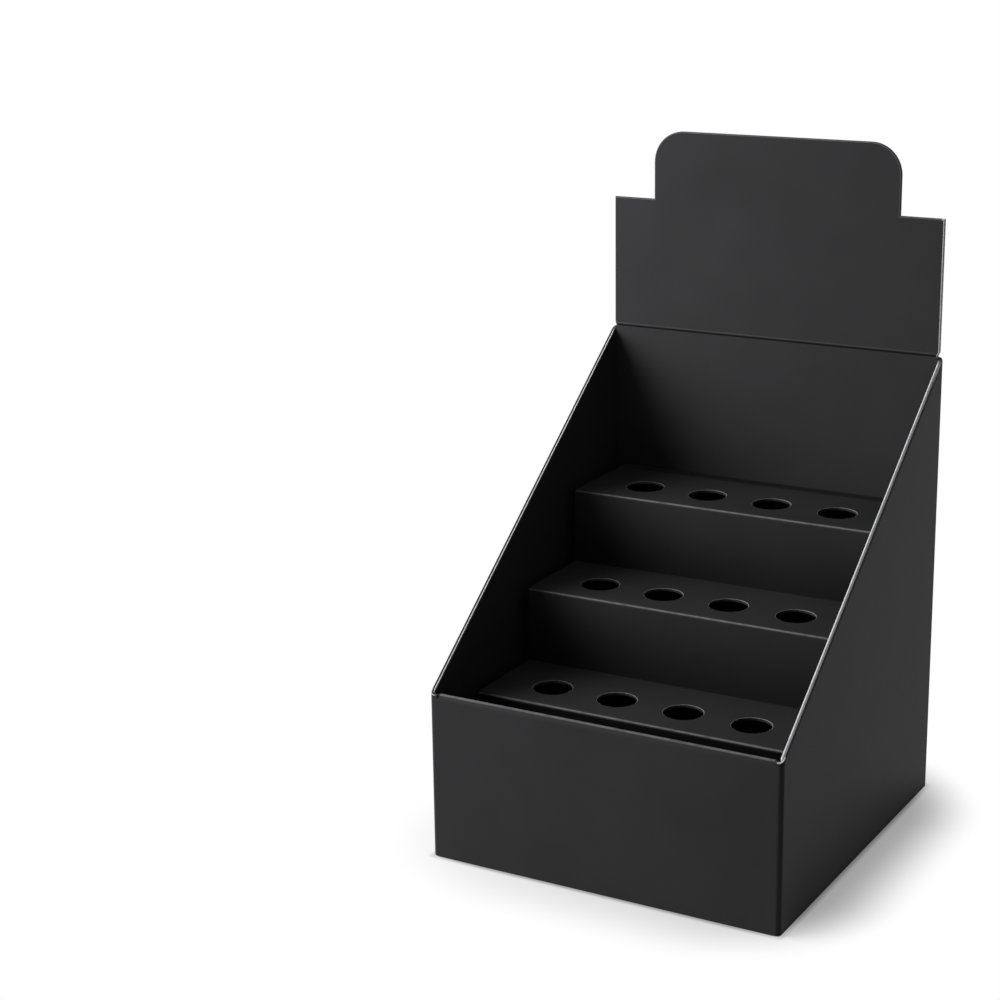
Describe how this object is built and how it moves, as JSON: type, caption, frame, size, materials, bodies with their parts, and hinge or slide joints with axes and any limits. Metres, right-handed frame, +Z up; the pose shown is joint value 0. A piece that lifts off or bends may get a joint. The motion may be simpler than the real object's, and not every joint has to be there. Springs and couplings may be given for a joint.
{
  "type": "display box",
  "caption": "Open counter display box of black card: sloped-side tray with a rounded header card and a stepped insert whose round holes hold tubes upright.",
  "frame": {"origin": "middle of the underside of the base, on the surface that the box stands on", "axes": "+Z up; -Y towards the low front wall; +X to the right seen from the front"},
  "size_m": [0.16, 0.17, 0.291],
  "materials": {
    "tray_card": "matte",
    "insert_card": "matte"
  },
  "bodies": {
    "root": {"display_tray": "tray_card", "tier_insert": "insert_card"}
  },
  "joints": []
}
